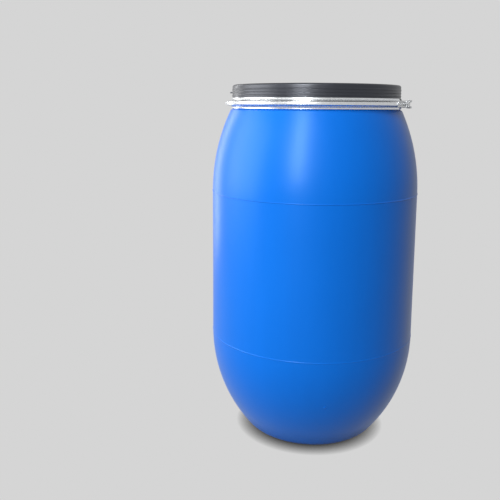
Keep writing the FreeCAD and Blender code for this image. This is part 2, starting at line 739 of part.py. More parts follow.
def draw_ear(sketch):
    join = "(Sizes.lever_ear_end + Sizes.ear_join)"
    round_radius = f"({PIVOT} - {LEVER_INNER})"
    outline(sketch, [
        (LEVER_INNER, "0"),
        polar(LEVER_INNER, join),
        polar(LEVER_OUTER, join),
        (f"({PIVOT} + {round_radius})", "0"),
    ], {3: ((PIVOT, "0"), round_radius, -1)})
    circle(sketch, PIVOT, "0", "(Sizes.pivot_pin_radius + Sizes.running_gap)")
    circle(sketch, LINK_PIN_X, "Sizes.crank", "(Sizes.link_pin_radius + Sizes.running_gap)")


def finger_tab(body):
    end = "(Sizes.lever_web_start + Sizes.lever_web_sweep)"
    tip = f"({end} + Sizes.lever_tab_sweep)"

    def draw(sketch):
        web_inner = f"({LEVER_OUTER} - Sizes.lever_sheet)"
        outline(sketch, [
            polar(web_inner, f"({end} - Sizes.tab_join)"),
            polar(f"({web_inner} + Sizes.lever_tab_rise)", tip),
            polar(f"({LEVER_OUTER} + Sizes.lever_tab_rise)", tip),
            polar(LEVER_OUTER, f"({end} - Sizes.tab_join)"),
        ])

    low = f"(Sizes.ring_height - {LEVER_EAR_OUTER})"
    flat(body, "finger_tab", low, f"(2 * {LEVER_EAR_OUTER})", draw)


def staple_slot(body):
    half = "(Sizes.staple_thickness / 2 + Sizes.slot_play / 2)"
    length = f"((Sizes.staple_width + 2 * Sizes.slot_play) / {LEVER_OUTER} * 180 / pi)"
    inner = f"({LEVER_OUTER} - 2 * Sizes.lever_sheet)"
    outer = f"({LEVER_OUTER} + Sizes.lever_sheet)"
    start = f"(Sizes.staple_angle - {length} / 2)"
    curved_plate(body, "staple_slot", inner, outer, half, start, length, "Groove")


def lever_pivot_rivets():
    body = closure_part("lever_pivot_rivets")
    cheek_inner = "(Sizes.bracket_half_width - Sizes.bracket_sheet - Sizes.running_gap)"
    ear_outer = f"({LEVER_EAR_OUTER} + Sizes.running_gap)"
    inner_end = f"({cheek_inner} - Sizes.pin_head_rise)"
    outer_end = f"({ear_outer} + Sizes.pin_head_rise)"
    for side, sign in (("upper", 1), ("lower", -1)):
        stack = [
            ("shank", inner_end, outer_end, "Sizes.pivot_pin_radius"),
            ("inner_head", inner_end, cheek_inner, "Sizes.pivot_head_radius"),
            ("outer_head", ear_outer, outer_end, "Sizes.pivot_head_radius"),
        ]
        for name, near, far, radius in stack:
            upright_round(body, side + "_" + name, sign, near, far, (PIVOT, "0"), radius)


def link_pivot_pin():
    body = closure_part("link_pivot_pin")
    near = f"({LEVER_EAR_OUTER} + Sizes.running_gap)"
    far = f"({near} + Sizes.pin_head_rise)"
    centre = (LINK_PIN_X, "Sizes.crank")
    upright_round(body, "shank_upper", 1, "(-Sizes.link_half_width)", far, centre, "Sizes.link_pin_radius")
    upright_round(body, "shank_lower", -1, "0", far, centre, "Sizes.link_pin_radius")
    for side, sign in (("upper", 1), ("lower", -1)):
        upright_round(body, side + "_head", sign, near, far, centre, "Sizes.link_pin_head_radius")


def upright_round(body, name, sign, near, far, centre, radius):
    """A round pad parallel to the drum's axis, between two distances from the ring's mid height."""
    low = near if sign > 0 else far
    mark = "+" if sign > 0 else "-"

    def draw(sketch):
        circle(sketch, centre[0], centre[1], radius)

    flat(body, name, f"(Sizes.ring_height {mark} {low})", f"({far} - {near})", draw)


def seal_staple():
    body = closure_part("seal_staple")
    half = "Sizes.staple_width / 2"
    corner = "Sizes.staple_corner"
    foot = f"({PLATE_INNER} + 2 * Sizes.running_gap)"
    root = f"({PLATE_INNER} + Sizes.bracket_sheet)"

    def place(out, along):
        return (
            f"({out}) * cos(Sizes.staple_angle) - ({along}) * sin(Sizes.staple_angle)",
            f"({out}) * sin(Sizes.staple_angle) + ({along}) * cos(Sizes.staple_angle)",
        )

    def draw(sketch):
        outline(sketch, [
            place(foot, f"-{half} - {corner}"),
            place(foot, f"{half} + {corner}"),
            place(root, half),
            place(f"({STAPLE_REACH} - {corner})", half),
            place(STAPLE_REACH, f"{half} - {corner}"),
            place(STAPLE_REACH, f"-{half} + {corner}"),
            place(f"({STAPLE_REACH} - {corner})", "-" + half),
            place(root, "-" + half),
        ])
        eye = place(f"({STAPLE_REACH} - 2 * Sizes.staple_eye_radius)", "0")
        circle(sketch, eye[0], eye[1], "Sizes.staple_eye_radius")

    low = "(Sizes.ring_height - Sizes.staple_thickness / 2)"
    flat(body, "loop", low, "Sizes.staple_thickness", draw)


def check_and_export():
    doc.recompute()
    for item in doc.Objects:
        wrong = [state for state in item.State if state in ("Invalid", "Error")]
        if wrong:
            raise RuntimeError(f"{item.Label} is {wrong}")
    for body in parts:
        if body.Shape.isNull() or not body.Shape.isValid() or not body.Shape.Solids:
            raise RuntimeError(f"{body.Label} has no valid solid")
    os.makedirs("parts", exist_ok=True)
    for body in parts:
        body.Shape.exportStep(f"parts/{body.Label}.step")
        box = body.Shape.BoundBox
        print(f"{body.Label:<24} solids {len(body.Shape.Solids)} volume {body.Shape.Volume:10.1f}", box)


fill_sheet()
drum_body()
lid()
lid_gasket()
ring_band()
lever_bracket()
band_rivets("lever_bracket_rivets", RIVETS_REAR)
catch_bracket()
band_rivets("catch_bracket_rivets", RIVETS_FRONT)
link()
lever()
lever_pivot_rivets()
link_pivot_pin()
seal_staple()
check_and_export()
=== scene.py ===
import json
import math

import bmesh
import bpy
from bpy.props import FloatProperty, FloatVectorProperty, IntProperty, PointerProperty
from mathutils import Matrix, Vector


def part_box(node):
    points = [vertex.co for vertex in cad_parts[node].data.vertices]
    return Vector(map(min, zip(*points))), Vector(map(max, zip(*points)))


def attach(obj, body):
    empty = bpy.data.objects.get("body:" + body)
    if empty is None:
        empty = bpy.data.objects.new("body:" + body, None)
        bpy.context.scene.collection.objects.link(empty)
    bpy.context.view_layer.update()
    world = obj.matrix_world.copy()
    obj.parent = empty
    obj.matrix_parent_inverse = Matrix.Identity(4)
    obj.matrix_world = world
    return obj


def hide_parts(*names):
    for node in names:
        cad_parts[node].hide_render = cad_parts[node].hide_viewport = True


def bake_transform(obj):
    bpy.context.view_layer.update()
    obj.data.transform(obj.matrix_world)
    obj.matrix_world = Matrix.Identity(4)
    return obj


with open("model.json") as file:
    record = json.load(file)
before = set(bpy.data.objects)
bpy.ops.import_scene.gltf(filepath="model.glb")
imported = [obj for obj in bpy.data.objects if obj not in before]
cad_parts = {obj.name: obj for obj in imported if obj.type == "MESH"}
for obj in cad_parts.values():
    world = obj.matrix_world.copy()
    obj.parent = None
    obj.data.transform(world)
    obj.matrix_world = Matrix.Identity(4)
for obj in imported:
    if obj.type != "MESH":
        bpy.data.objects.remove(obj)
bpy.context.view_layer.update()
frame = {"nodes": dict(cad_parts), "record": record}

bl_info = {
    "name": "Open Head Drum",
    "version": (1, 0, 0),
    "blender": (4, 5, 0),
    "location": "View3D > Sidebar > Drum",
    "description": "Builds the looks of a plastic open head drum round its packed frame",
    "category": "Add Mesh",
}

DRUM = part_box("drum_body")
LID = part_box("lid")
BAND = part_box("ring_band")
CLOSURE = ("lever", "link", "lever_bracket", "catch_bracket", "seal_staple")
RIVETS = ("lever_bracket_rivets", "catch_bracket_rivets", "lever_pivot_rivets", "link_pivot_pin")
BODIES = frame["record"]["behaviour"]["bodies"]
BODY_OF = {node: body for body, nodes in BODIES.items() for node in nodes}

# Lengths in metres, angles in radians, colours linear

# Shell
DISH_DEPTH, DISH_RADIUS = 0.007, 0.088
FOOT_RADIUS, FOOT_FLAT = 0.096, 0.01
BASE_ROUND = 0.052
SEAM_HALF, SEAM_SUPPORT = 0.0015, 0.0019
SEAM_CLEARANCE = 0.006  # angle kept free between a curve's end and its seam
LOWER_SEAM_RISE, UPPER_SEAM_RISE = 0.0006, 0.001
FLANK_RISE, FLANK_HALF = 0.7, 0.55  # shares of the seam's rise and half width
NECK_STEP, NECK_WALL, NECK_TOP = 0.0018, 0.0064, 0.7921
RIM_LOW = 0.7961
SHOULDER_STEPS, INNER_SHOULDER_STEPS, ROUND_STEPS, LOWER_STEPS = 28, 20, 14, 26
PIP_HEIGHT, PIP_OFFSET, PIP_RADIUS, PIP_FLATNESS = 0.138, 0.035, 0.003, 0.36
PIP_SEGMENTS, PIP_RINGS = 28, 14
SCUFF = (0.08, 0.3, 0.78, 1.0)

# Lid
LID_RADIUS, LID_LAND, LID_SLOPE, LID_PANEL_DROP = 0.1982, 0.009, 0.007, 0.016
LID_FLANGE_LOW, LID_FLANGE_EDGE, LID_FLANGE_ROOT = 0.801, 0.8029, 0.80694
SKIRT_GAP, SKIRT_WALL = 0.0074, 0.003
HUB_RADIUS, HUB_RISE = 0.058, 0.004
RIBS, FIRST_RIB_DROP, RIB_PITCH, RIB_SIZE = 3, 0.0117, 0.0068, 0.0009
SPOKES, SPOKE_INNER, SPOKE_OUTER, SPOKE_WIDTH = 12, 0.074, 0.152, 0.009
SPOKE_ROOT, SPOKE_RISE = 0.002, 0.003
LUG_INNER, LUG_OUTER, LUG_WIDTH, LUG_LOW, LUG_HIGH = 0.1965, 0.2052, 0.009, 0.8228, 0.8262
BAR_BEVEL = 0.0012

# Band and closure
LIP_RADIUS, LIP_HALF = 0.2002, 0.012
CROWN_RADIUS, CROWN_HALF, ROOT_HALF = 0.2155, 0.0032, 0.0085
REAR_END, FRONT_END = math.radians(-8.0), math.radians(-20.0)
# Painted shade: the closure's zinc is the band's zinc made darker, standing in for the shade in and
# round the closure's gap
CLOSURE_SHADE_FACTOR = 0.7
PRESSED_EDGE, TURNED_EDGE = 0.00025, 0.0004

# Meshes
MERGE = 1e-6
FLAT_ANGLE, BROKEN_ANGLE = math.radians(1.0), math.radians(40.0)  # faces joined below, bevelled above
HALF_SIDE = 0.49  # share of a side that one rounded corner may take

# Stage
LIT_FLOOR = (0.22, 0.22, 0.22, 1.0)
FLOOR_SIZE, CONTACT_REACH = 30.0, 0.03
WORLD_LIGHT, SEEN_WORLD = 0.24, 1.0
LAMPS = (
    # name, place, target, width, height, power
    ("key_left", (-2.7, -0.4, 1.3), (0.0, 0.0, 0.6), 2.4, 2.2, 70.0),
    ("front_strip", (-0.72, -2.3, 1.9), (0.0, 0.0, 0.7), 0.34, 2.2, 78.0),
    ("rim_left", (-1.6, 1.4, 0.9), (0.0, 0.0, 0.6), 0.25, 1.8, 9.0),
)
CAMERA_DISTANCE, CAMERA_HEIGHT = 1.60, 0.7936
CAMERA_LENS, CAMERA_SENSOR, CAMERA_SHIFT = 47.4, 36.0, -0.08
CAMERA_PITCH, CAMERA_PAN, CAMERA_ROLL = math.radians(9.0), math.radians(5.55), math.radians(0.4)


# Sizes and colours


class DrumSizes(bpy.types.PropertyGroup):
    """Sizes of the visual pieces, in metres."""

    turns: IntProperty(
        name="Turns", description="Steps round the drum's axis", default=224, min=48)
    radius: FloatProperty(
        name="Radius", description="Radius between the seams", default=0.245, unit="LENGTH")
    wall: FloatProperty(
        name="Wall", description="Thickness of the shell", default=0.004, unit="LENGTH")
    lower_seam: FloatProperty(
        name="Lower seam", description="Height of the lower seam", default=0.246, unit="LENGTH")
    upper_seam: FloatProperty(
        name="Upper seam", description="Height of the upper seam", default=0.592, unit="LENGTH")
    shoulder_arc: FloatProperty(
        name="Shoulder arc", description="Radius of the shoulder's curve", default=0.452, unit="LENGTH")
    lower_arc: FloatProperty(
        name="Lower arc", description="Radius of the lower curve", default=0.353, unit="LENGTH")
    shoulder_top: FloatProperty(
        name="Shoulder top", description="Height at which the neck starts", default=0.784, unit="LENGTH")
    neck: FloatProperty(
        name="Neck", description="Outer radius of the neck", default=0.1984, unit="LENGTH")
    flange: FloatProperty(
        name="Flange", description="Radius of the rim and the lid flange", default=0.210, unit="LENGTH")
    lid_wall: FloatProperty(
        name="Lid wall", description="Thickness of the lid", default=0.0034, unit="LENGTH")
    sheet: FloatProperty(
        name="Sheet", description="Thickness of the band", default=0.0012, unit="LENGTH")


class DrumColours(bpy.types.PropertyGroup):
    """Colours of the finishes, linear."""

    blue: FloatVectorProperty(
        name="Drum", description="Colour of the shell",
        default=(0.0005, 0.142, 0.65), size=3, subtype="COLOR")
    black: FloatVectorProperty(
        name="Lid", description="Colour of the lid",
        default=(0.008, 0.009, 0.013), size=3, subtype="COLOR")
    zinc: FloatVectorProperty(
        name="Zinc", description="Colour of the galvanised sheet",
        default=(0.76, 0.78, 0.8), size=3, subtype="COLOR")
    floor: FloatVectorProperty(
        name="Floor", description="Colour of the floor and the backdrop",
        default=(0.665, 0.665, 0.665), size=3, subtype="COLOR")


# Shader wiring


# A Mix node has sockets of one name for each data type, so its colour sockets go by number
MIX_FACTOR, MIX_FIRST, MIX_SECOND, MIX_COLOUR = 0, 6, 7, 2


class Wire:
    """An output socket in a node tree; arithmetic on it adds Math nodes."""

    def __init__(self, nodes, socket):
        self.nodes = nodes
        self.socket = socket

    def maths(self, operation, *values, clamp=False):
        settings = {"operation": operation, "use_clamp": clamp}
        return self.nodes.node("ShaderNodeMath", settings, values)

    def __add__(self, other):
        return self.maths("ADD", self, other)

    def __radd__(self, other):
        return self.maths("ADD", other, self)

    def __sub__(self, other):
        return self.maths("SUBTRACT", self, other)

    def __rsub__(self, other):
        return self.maths("SUBTRACT", other, self)

    def __mul__(self, other):
        return self.maths("MULTIPLY", self, other)

    def __rmul__(self, other):
        return self.maths("MULTIPLY", other, self)

    def __abs__(self):
        return self.maths("ABSOLUTE", self)

    def clamped(self):
        return self.maths("MULTIPLY", self, 1.0, clamp=True)


class Nodes:
    """A node tree under construction."""

    def __init__(self, tree):
        self.tree = tree

    def node(self, kind, settings=None, inputs=None, output=0):
        """Add a node: its settings first, then its sockets' values or links, by name or in order."""
        item = self.tree.nodes.new(kind)
        for key, value in (settings or {}).items():
            setattr(item, key, value)
        pairs = inputs.items() if isinstance(inputs, dict) else enumerate(inputs or ())
        for key, value in pairs:
            if isinstance(value, Wire):
                self.tree.links.new(value.socket, item.inputs[key])
            else:
                item.inputs[key].default_value = value
        return Wire(self, item.outputs[output]) if item.outputs else None

    def spread(self, wire, low, high, to_low, to_high):
        """Map the range low to high onto the range to_low to to_high, clamped at both ends."""
        return self.node("ShaderNodeMapRange", None, {
            "Value": wire, "From Min": low, "From Max": high, "To Min": to_low, "To Max": to_high,
        })

    def blend(self, factor, first, second):
        """Mix two colours, each four numbers or a wire."""
        inputs = {MIX_FACTOR: factor, MIX_FIRST: first, MIX_SECOND: second}
        return self.node("ShaderNodeMix", {"data_type": "RGBA"}, inputs, MIX_COLOUR)


class Finish(Nodes):
    """A material under construction: a Principled shader and the nodes that feed it."""

    def __init__(self, name, **constants):
        self.material = bpy.data.materials.new(name)
        self.material.use_nodes = True
        super().__init__(self.material.node_tree)
        self.shader = self.tree.nodes["Principled BSDF"]
        for socket, value in constants.items():
            self.shader.inputs[socket.replace("_", " ")].default_value = value
        self.place = self.node("ShaderNodeTexCoord", output="Object")

    def axis(self, name):
        return self.node("ShaderNodeSeparateXYZ", None, [self.place], name)

    def stretched(self, scale):
        return self.node("ShaderNodeMapping", None, {"Vector": self.place, "Scale": scale})

    def noise(self, scale, detail=2.0, roughness=0.5, vector=None):
        return self.node("ShaderNodeTexNoise", None, {
            "Vector": vector or self.place, "Scale": scale, "Detail": detail, "Roughness": roughness,
        })

    def cells(self, scale):
        return self.node("ShaderNodeTexVoronoi", None, {"Vector": self.place, "Scale": scale}, "Color")

    def bumped(self, height):
        """A surface raised by a height in metres."""
        return self.node("ShaderNodeBump", None, {"Height": height, "Distance": 1.0})

    def feed(self, socket, wire):
        self.tree.links.new(wire.socket, self.shader.inputs[socket])


def shade(colour, factor):
    """A colour made darker or lighter, with its alpha."""
    return tuple(min(1.0, part * factor) for part in colour) + (1.0,)


def blue_plastic(colour):
    """Blow-moulded polyethylene: satin, with a fine skin, flow streaks, scuffs and two parting lines."""
    finish = Finish("drum_blue_plastic", Specular_IOR_Level=0.36, Specular_Tint=(0.5, 0.8, 1.0, 1.0))
    clouds = finish.noise(5.0, detail=3.0)
    streaks = finish.noise(3.0, detail=3.0, vector=finish.stretched((14.0, 14.0, 1.1)))
    scuffs = finish.noise(70.0, detail=5.0, roughness=0.7, vector=finish.stretched((1.0, 1.0, 3.4)))
    tone = (clouds * 0.55 + streaks * 0.45).clamped()
    base = finish.blend(tone, shade(colour, 0.94), shade(colour, 1.06))
    scratched = finish.spread(scuffs, 0.68, 0.8, 0.0, 0.1)
    finish.feed("Base Color", finish.blend(scratched, base, SCUFF))
    finish.feed("Roughness", 0.29 + clouds * 0.06 + scuffs * 0.06)
    skin = finish.noise(620.0)
    swells = finish.noise(16.0)
    parting = 1.0 - finish.spread(abs(finish.axis("Y")), 0.0003, 0.0011, 0.0, 1.0)
    finish.feed("Normal", finish.bumped(skin * 0.00003 + swells * 0.00035 + parting * 0.00022))
    return finish.material


def black_plastic(colour):
    """Injection-moulded polyethylene: a fine spark-eroded grain, dulled in paler patches by dust."""
    finish = Finish("lid_black_plastic", Specular_IOR_Level=0.7, Specular_Tint=(0.86, 0.9, 1.0, 1.0))
    grain = finish.noise(900.0)
    dust = finish.noise(26.0, detail=6.0, roughness=0.65)
    patches = finish.spread(dust, 0.48, 0.72, 0.0, 0.35)
    finish.feed("Base Color", finish.blend(patches, shade(colour, 1.0), shade(colour, 2.3)))
    finish.feed("Roughness", 0.27 + dust * 0.12 + grain * 0.06)
    finish.feed("Normal", finish.bumped(grain * 0.00004 + finish.noise(30.0) * 0.0001))
    return finish.material


def gasket_rubber():
    """Dull black rubber with a fine grain."""
    finish = Finish("gasket_rubber")
    grain = finish.noise(700.0, detail=3.0)
    finish.feed("Base Color", finish.blend(grain, (0.012, 0.012, 0.012, 1.0), (0.03, 0.03, 0.03, 1.0)))
    finish.feed("Roughness", 0.7 + grain * 0.2)
    finish.feed("Normal", finish.bumped(grain * 0.0001))
    return finish.material


def zinc_sheet(name, colour, roughness, spangle):
    """Galvanised steel: crystals of zinc that differ in tone and gloss, with fine rolling lines."""
    finish = Finish(name, Metallic=1.0)
    flakes = finish.node("ShaderNodeSeparateColor", None, [finish.cells(spangle)])
    lines = finish.noise(9.0, detail=3.0, vector=finish.stretched((1.0, 1.0, 160.0)))
    stains = finish.noise(38.0, detail=4.0, roughness=0.6)
    tone = (flakes * 0.5 + stains * 0.5).clamped()
    finish.feed("Base Color", finish.blend(tone, shade(colour, 0.93), shade(colour, 1.05)))
    finish.feed("Roughness", roughness + flakes * 0.04 + lines * 0.05 + stains * 0.05)
    finish.feed("Normal", finish.bumped(lines * 0.0000012))
    return finish.material


def rivet_steel(colour):
    """Plated steel with fine turning and heading marks."""
    finish = Finish("rivet_steel", Metallic=1.0)
    marks = finish.noise(240.0, detail=4.0, roughness=0.6)
    finish.feed("Base Color", finish.blend(marks, shade(colour, 0.66), shade(colour, 0.9)))
    finish.feed("Roughness", 0.3 + marks * 0.18)
    finish.feed("Normal", finish.bumped(marks * 0.00006))
    return finish.material


# Modelling


def arc(centre, radius, first, last, steps):
    """Points (radius, height) of an arc, angles in radians from the outward direction."""
    for step in range(steps + 1):
        angle = first + (last - first) * step / steps
        yield (centre[0] + radius * math.cos(angle), centre[1] + radius * math.sin(angle))


def softened(corners, steps=4):
    """Points of a closed outline whose corners (radius, height, bend) are rounded to their bend."""
    points = []
    count = len(corners)
    for index, (x, y, bend) in enumerate(corners):
        here = Vector((x, y))
        before = Vector(corners[index - 1][:2]) - here
        after = Vector(corners[(index + 1) % count][:2]) - here
        if bend <= 0.0:
            points.append(tuple(here))
            continue
        half = before.angle(after) / 2
        reach = min(bend / math.tan(half), before.length * HALF_SIDE, after.length * HALF_SIDE)
        size = reach * math.tan(half)
        start = here + before.normalized() * reach
        end = here + after.normalized() * reach
        centre = here + (before.normalized() + after.normalized()).normalized() * size / math.sin(half)
        for step in range(steps + 1):
            outward = (start - centre).slerp(end - centre, step / steps)
            points.append(tuple(centre + outward.normalized() * size))
    return points


def finished(bm, name, material, body, replaced=(), sharp=38.0):
    """Turn a bmesh into a piece that rides on a body, or on none yet; sharp is in degrees."""
    bmesh.ops.remove_doubles(bm, verts=bm.verts, dist=MERGE)
    bmesh.ops.dissolve_degenerate(bm, edges=bm.edges, dist=MERGE)
    bmesh.ops.recalc_face_normals(bm, faces=bm.faces)
    mesh = bpy.data.meshes.new(name)
    bm.to_mesh(mesh)
    bm.free()
    mesh.polygons.foreach_set("use_smooth", [True] * len(mesh.polygons))
    mesh.set_sharp_from_angle(angle=math.radians(sharp))
    mesh.materials.append(material)
    piece = bpy.data.objects.new(name, mesh)
    bpy.context.scene.collection.objects.link(piece)
    weighted = piece.modifiers.new("weighted_normals", "WEIGHTED_NORMAL")
    weighted.keep_sharp = True
    if body:
        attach(piece, body)
    if replaced:
        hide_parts(*replaced)
    return piece


def spun(bm, points, turns, sweep=math.tau, start=0.0):
    """Spin a closed outline of points (radius, height) about the drum's axis."""
    chain = [bm.verts.new((r, 0.0, z)) for r, z in points]
    edges = [bm.edges.new((chain[i], chain[(i + 1) % len(chain)])) for i in range(len(chain))]
    bmesh.ops.rotate(bm, verts=chain, cent=(0, 0, 0), matrix=Matrix.Rotation(start, 3, "Z"))
    whole = sweep >= math.tau
    result = bmesh.ops.spin(
        bm, geom=chain + edges, cent=(0, 0, 0), axis=(0, 0, 1), angle=sweep, steps=turns,
        use_merge=whole, use_duplicate=False)
    if not whole:
        last = [item for item in result["geom_last"] if isinstance(item, bmesh.types.BMEdge)]
        bmesh.ops.contextual_create(bm, geom=edges)
        bmesh.ops.contextual_create(bm, geom=last)


def drum_outline(sizes):
    """Closed outline of the shell: outside from the dished base up to the rim, then back down inside."""
    shoulder = (sizes.radius - sizes.shoulder_arc, sizes.upper_seam)
    lower = (sizes.radius - sizes.lower_arc, sizes.lower_seam)
    rim_top = DRUM[1].z
    outside = [(0.0, DISH_DEPTH)]
    outside += softened([
        (0.0, DISH_DEPTH, 0.0),
        (DISH_RADIUS, DISH_DEPTH, 0.006),
        (FOOT_RADIUS, 0.0, 0.003),
        (FOOT_RADIUS + FOOT_FLAT, 0.0, 0.0),
    ])[1:]
    outside += base_corner(lower, sizes.lower_arc, 0.0, BASE_ROUND)
    outside += seam(sizes.radius, sizes.lower_seam, LOWER_SEAM_RISE)
    outside += seam(sizes.radius, sizes.upper_seam, UPPER_SEAM_RISE)
    rise = math.asin((sizes.shoulder_top - sizes.upper_seam) / sizes.shoulder_arc)
    outside += arc(shoulder, sizes.shoulder_arc, SEAM_CLEARANCE, rise, SHOULDER_STEPS)
    neck_foot = sizes.shoulder_top + NECK_STEP
    neck_inner = sizes.neck - NECK_WALL
    outside += softened([
        (outside[-1][0], sizes.shoulder_top, 0.0),
        (sizes.neck, neck_foot, 0.0008),
        (sizes.neck, NECK_TOP, 0.0006),
        (sizes.flange, RIM_LOW, 0.0006),
        (sizes.flange, rim_top, 0.0006),
        (neck_inner, rim_top, 0.0012),
        (neck_inner, neck_foot, 0.0),
    ])[1:-1]
    inner = sizes.shoulder_arc - sizes.wall
    inner_rise = math.asin((sizes.shoulder_top - sizes.upper_seam) / inner)
    inside = list(arc(shoulder, inner, inner_rise, 0.0, INNER_SHOULDER_STEPS))
    lower_inner = sizes.lower_arc - sizes.wall
    inside += reversed(base_corner(lower, lower_inner, sizes.wall, BASE_ROUND - sizes.wall))
    inside += [
        (FOOT_RADIUS, sizes.wall),
        (DISH_RADIUS, DISH_DEPTH + sizes.wall),
        (0.0, DISH_DEPTH + sizes.wall),
    ]
    return outside + inside


def base_corner(centre, radius, floor, bend):
    """The lower curve and the round that joins it to the flat foot at height floor, going up."""
    tall = floor + bend - centre[1]
    reach = math.sqrt((radius - bend) ** 2 - tall ** 2)
    round_centre = (centre[0] + reach, floor + bend)
    tangent = math.atan2(tall, reach)
    points = list(arc(round_centre, bend, -math.pi / 2, tangent, ROUND_STEPS))
    return points + list(arc(centre, radius, tangent, -SEAM_CLEARANCE, LOWER_STEPS))[1:]


def seam(radius, height, rise):
    """A low bead, with a loop close to each side that keeps its shading off the wall."""
    flank = radius + rise * FLANK_RISE
    return [
        (radius, height - SEAM_SUPPORT),
        (radius, height - SEAM_HALF),
        (flank, height - SEAM_HALF * FLANK_HALF),
        (radius + rise, height),
        (flank, height + SEAM_HALF * FLANK_HALF),
        (radius, height + SEAM_HALF),
        (radius, height + SEAM_SUPPORT),
    ]


def moulded_pip(bm, sizes):
    """A small round knob on the lower curve, at the front."""
    centre = sizes.radius - sizes.lower_arc
    drop = sizes.lower_seam - PIP_HEIGHT
    radius = centre + math.sqrt(sizes.lower_arc ** 2 - drop ** 2)
    spot = Vector((PIP_OFFSET, -math.sqrt(radius ** 2 - PIP_OFFSET ** 2), PIP_HEIGHT))
    slope = Vector((spot.x, spot.y, 0.0)).normalized() * (radius - centre) - Vector((0, 0, drop))
    knob = bmesh.ops.create_uvsphere(
        bm, u_segments=PIP_SEGMENTS, v_segments=PIP_RINGS, radius=PIP_RADIUS)["verts"]
    bmesh.ops.scale(bm, verts=knob, vec=(1.0, 1.0, PIP_FLATNESS))
    turn = slope.to_track_quat("Z", "Y").to_matrix()
    bmesh.ops.rotate(bm, verts=knob, cent=(0, 0, 0), matrix=turn)
    bmesh.ops.translate(bm, verts=knob, vec=spot)


class DRUM_OT_shell(bpy.types.Operator):
    """Add the blow-moulded shell with its seams, rim and dished base"""

    bl_idname = "drum.shell"
    bl_label = "Drum Shell"

    def execute(self, context):
        sizes = context.scene.drum_sizes
        bm = bmesh.new()
        spun(bm, drum_outline(sizes), sizes.turns)
        moulded_pip(bm, sizes)
        material = blue_plastic(context.scene.drum_colours.blue)
        finished(bm, "drum_shell", material, "drum", ["drum_body"])
        return {"FINISHED"}


def lid_outline(sizes):
    """Closed outline of the lid: skirt, flange, ribbed wall, top edge, recessed panel and underside."""
    wall = sizes.lid_wall
    inner = LID_RADIUS - wall
    land = inner - LID_LAND
    panel = land - LID_SLOPE
    top = LID[1].z
    low = LID[0].z
    panel_top = top - LID_PANEL_DROP
    hub_top = panel_top + HUB_RISE
    skirt_outer = sizes.neck - SKIRT_GAP
    skirt_inner = skirt_outer - SKIRT_WALL
    corners = [
        (skirt_inner, low, 0.0008),
        (skirt_outer, low, 0.0012),
        (skirt_outer, LID_FLANGE_LOW, 0.0004),
        (sizes.flange, LID_FLANGE_LOW, 0.0005),
        (sizes.flange, LID_FLANGE_EDGE, 0.0006),
        (LID_RADIUS, LID_FLANGE_ROOT, 0.0012),
    ]
    for index in reversed(range(RIBS)):
        corners += wall_rib(LID_RADIUS, top - FIRST_RIB_DROP - RIB_PITCH * index)
    corners += [
        (LID_RADIUS, top, 0.008),
        (land, top, 0.0034),
        (panel, panel_top, 0.003),
        (HUB_RADIUS + HUB_RISE, panel_top, 0.002),
        (HUB_RADIUS, hub_top, 0.0015),
        (0.0, hub_top, 0.0),
        (0.0, panel_top - wall, 0.0),
        (panel + wall / 2, panel_top - wall, 0.002),
        (land + wall, top - wall, 0.001),
        (inner, top - wall, 0.0046),
        (inner, LID_FLANGE_LOW + 2 * wall, 0.001),
        (skirt_inner, LID_FLANGE_LOW + wall, 0.001),
    ]
    return softened(corners, steps=5)


def wall_rib(radius, height):
    """Corners of one low rib round the lid's wall."""
    return [
        (radius, height - 2 * RIB_SIZE, 0.0004),
        (radius + RIB_SIZE, height - RIB_SIZE / 2, 0.0005),
        (radius + RIB_SIZE, height + RIB_SIZE / 2, 0.0005),
        (radius, height + 2 * RIB_SIZE, 0.0004),
    ]


def raised_bar(bm, inner, outer, width, low, high, angle):
    """A bevelled bar that lies along the radius at an angle."""
    bar = bmesh.ops.create_cube(bm, size=1.0)["verts"]
    bmesh.ops.scale(bm, verts=bar, vec=(outer - inner, width, high - low))
    bmesh.ops.translate(bm, verts=bar, vec=((outer + inner) / 2, 0.0, (high + low) / 2))
    bmesh.ops.rotate(bm, verts=bar, cent=(0, 0, 0), matrix=Matrix.Rotation(angle, 3, "Z"))
    rims = dict.fromkeys(edge for vert in bar for edge in vert.link_edges)
    bmesh.ops.bevel(
        bm, geom=list(rims), offset=BAR_BEVEL, offset_type="OFFSET", affect="EDGES", segments=3,
        profile=0.5, material=-1)


class DRUM_OT_lid(bpy.types.Operator):
    """Add the black lid with its ribbed wall, recessed panel and spokes"""

    bl_idname = "drum.lid"
    bl_label = "Lid"

    def execute(self, context):
        sizes = context.scene.drum_sizes
        bm = bmesh.new()
        spun(bm, lid_outline(sizes), sizes.turns)
        low = LID[1].z - LID_PANEL_DROP - SPOKE_ROOT
        high = LID[1].z - LID_PANEL_DROP + SPOKE_RISE
        for index in range(SPOKES):
            angle = math.tau * index / SPOKES
            raised_bar(bm, SPOKE_INNER, SPOKE_OUTER, SPOKE_WIDTH, low, high, angle)
        raised_bar(bm, LUG_INNER, LUG_OUTER, LUG_WIDTH, LUG_LOW, LUG_HIGH, math.pi)
        material = black_plastic(context.scene.drum_colours.black)
        finished(bm, "lid_shell", material, "cover", ["lid"])
        return {"FINISHED"}


class DRUM_OT_gasket(bpy.types.Operator):
    """Give the gasket its rubber"""

    bl_idname = "drum.gasket"
    bl_label = "Gasket"

    def execute(self, context):
        dress("lid_gasket", gasket_rubber())
        return {"FINISHED"}


def dress(node, material):
    """Give a carried-over node a material of its own."""
    mesh = frame["nodes"][node].data
    mesh.materials.clear()
    mesh.materials.append(material)


